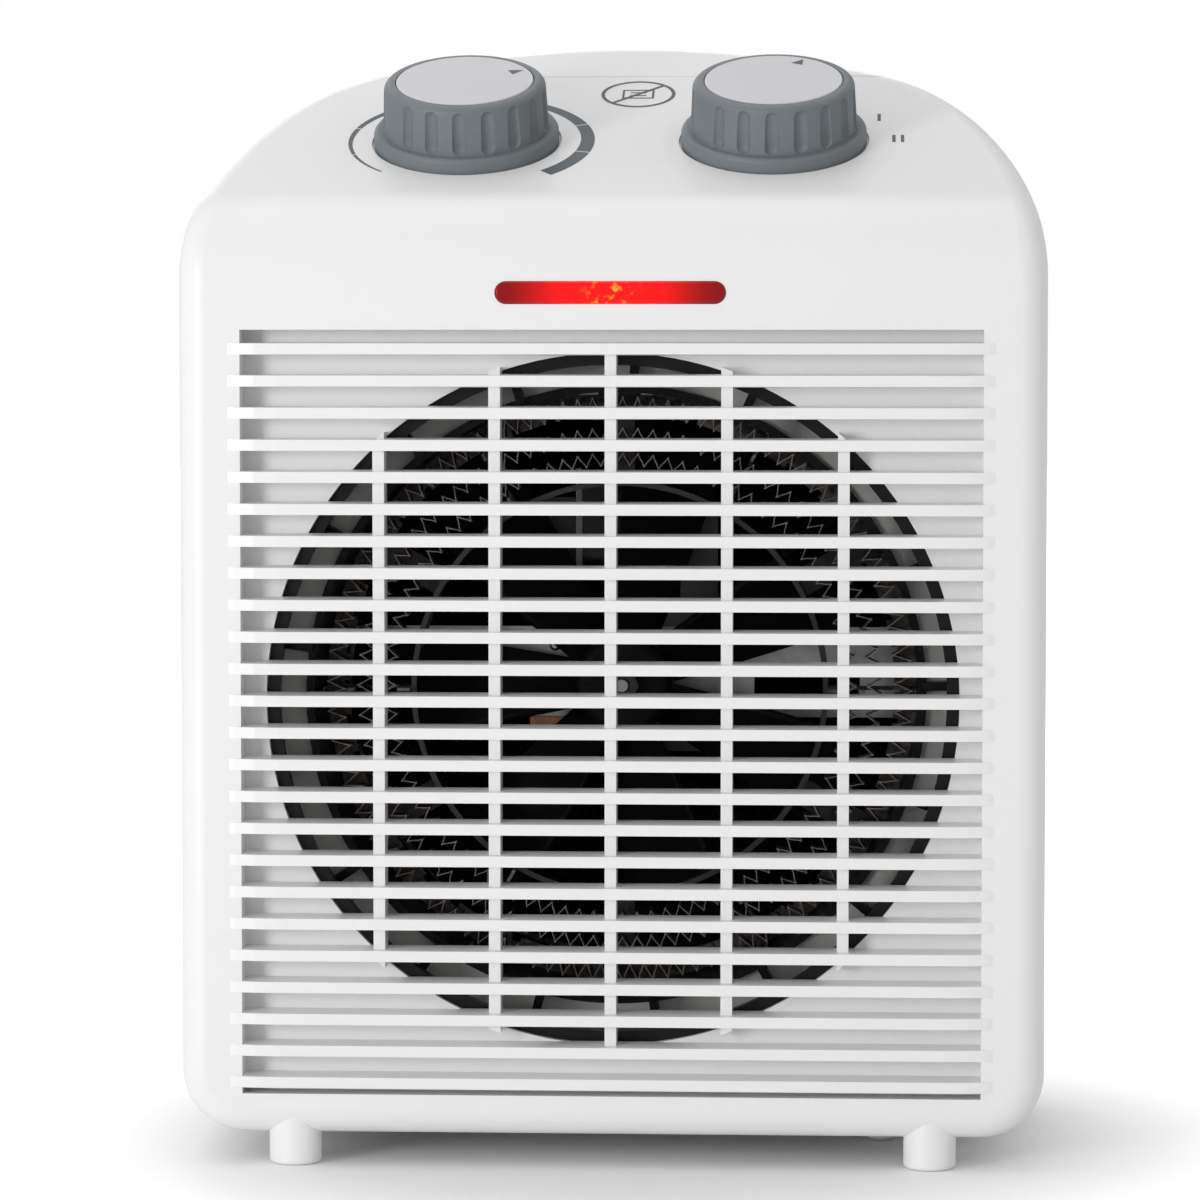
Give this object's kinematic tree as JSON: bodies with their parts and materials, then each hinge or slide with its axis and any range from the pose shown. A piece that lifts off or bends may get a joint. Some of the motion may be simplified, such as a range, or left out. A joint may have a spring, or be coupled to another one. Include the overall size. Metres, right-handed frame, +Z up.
{
  "type": "fan convector heater",
  "caption": "Upright portable fan heater: louvred front, round heating element and fan inside, two grooved knobs on a sloping top, four short feet.",
  "frame": {"origin": "on the floor under the middle of the case", "axes": "+X to the right seen from the front, -Y out of the louvred front, +Z up"},
  "size_m": [0.22, 0.13, 0.2858],
  "materials": {
    "shell_white": "satin, fine texture",
    "knob_grey": "fine grain",
    "cap_grey": "satin",
    "lens_red": "clear tinted, polished",
    "lamp_glass": "clear",
    "duct_black": "polished",
    "nylon_natural": "moulded",
    "mica_grey": "pressed, flecked",
    "nichrome": "dull, heat tinted",
    "steel": "rolled",
    "black_oxide": "blackened",
    "filter_foam": "open cell foam",
    "zinc_screw": "zinc plated",
    "lamination": "varnished sheet stack",
    "aluminium": "die cast",
    "copper": "drawn copper",
    "coil_tape": "wound black tape",
    "phenolic": "moulded",
    "brass": "plated",
    "fan_plastic": "moulded",
    "button_white": "moulded",
    "lead_red": "silicone",
    "lead_blue": "silicone"
  },
  "bodies": {
    "case": {"front_shell": "shell_white", "intake_filter": "filter_foam", "rear_shell": "shell_white", "case_screws": "zinc_screw", "indicator_lens": "lens_red", "lamp_holder": "nylon_natural", "indicator_lamp": "lamp_glass", "air_duct": "duct_black", "element_terminals": "steel", "duct_collar": "nylon_natural", "duct_screws": "zinc_screw", "heating_ribbon_outer": "nichrome", "heating_ribbon_middle": "nichrome", "heating_ribbon_inner": "nichrome", "mica_ring": "mica_grey", "mica_combs": "mica_grey", "element_bracket": "black_oxide", "terminal_block": "nylon_natural", "block_contacts": "brass", "thermal_cutout": "phenolic", "cutout_terminals": "brass", "motor_core": "lamination", "shading_rings": "copper", "motor_bobbin": "button_white", "motor_coil": "coil_tape", "bearing_bracket_front": "aluminium", "bearing_bracket_rear": "aluminium", "bearing_bushes": "brass", "motor_bracket": "steel", "motor_spacers": "zinc_screw", "motor_screws": "zinc_screw", "bracket_screws": "zinc_screw", "shaft_nuts": "steel", "thermostat_body": "phenolic", "thermostat_bimetal": "copper", "thermostat_terminals": "brass", "rotary_switch_body": "phenolic", "switch_terminals": "brass", "tip_spring": "steel", "tip_switch_body": "phenolic", "tip_switch_screws": "zinc_screw", "heater_leads": "lead_red", "motor_leads": "lead_blue", "lamp_leads": "lead_red", "tip_switch_leads": "lead_blue"},
    "thermostat_dial": {"thermostat_knob": "knob_grey", "thermostat_cap": "cap_grey", "thermostat_shaft": "aluminium"},
    "switch_dial": {"switch_knob": "knob_grey", "switch_cap": "cap_grey", "switch_shaft": "aluminium"},
    "fan": {"fan_impeller": "fan_plastic", "motor_shaft": "steel", "fan_nut": "black_oxide", "rotor": "aluminium"},
    "plunger": {"tip_plunger": "button_white"}
  },
  "joints": [
    {"name": "thermostat_turn", "type": "hinge", "parent": "case", "child": "thermostat_dial", "pos_m": [-0.0396, -0.0155, 0.25888], "axis": [0, -0.3907, 0.9205], "range_deg": [-73, 202]},
    {"name": "switch_turn", "type": "hinge", "parent": "case", "child": "switch_dial", "pos_m": [0.0396, -0.0155, 0.25888], "axis": [0, -0.3907, 0.9205], "range_deg": [-60, 30]},
    {"name": "fan_spin", "type": "hinge", "parent": "case", "child": "fan", "pos_m": [0, 0.0065, 0.1174], "axis": [0, 1, 0], "continuous": true},
    {"name": "plunger_drop", "type": "slide", "parent": "case", "child": "plunger", "axis": [0, 0, -1], "range_m": [0, 0.0045], "stiffness_N_per_m": 120, "springref_m": 0.006, "deforming": ["tip_spring"]}
  ]
}
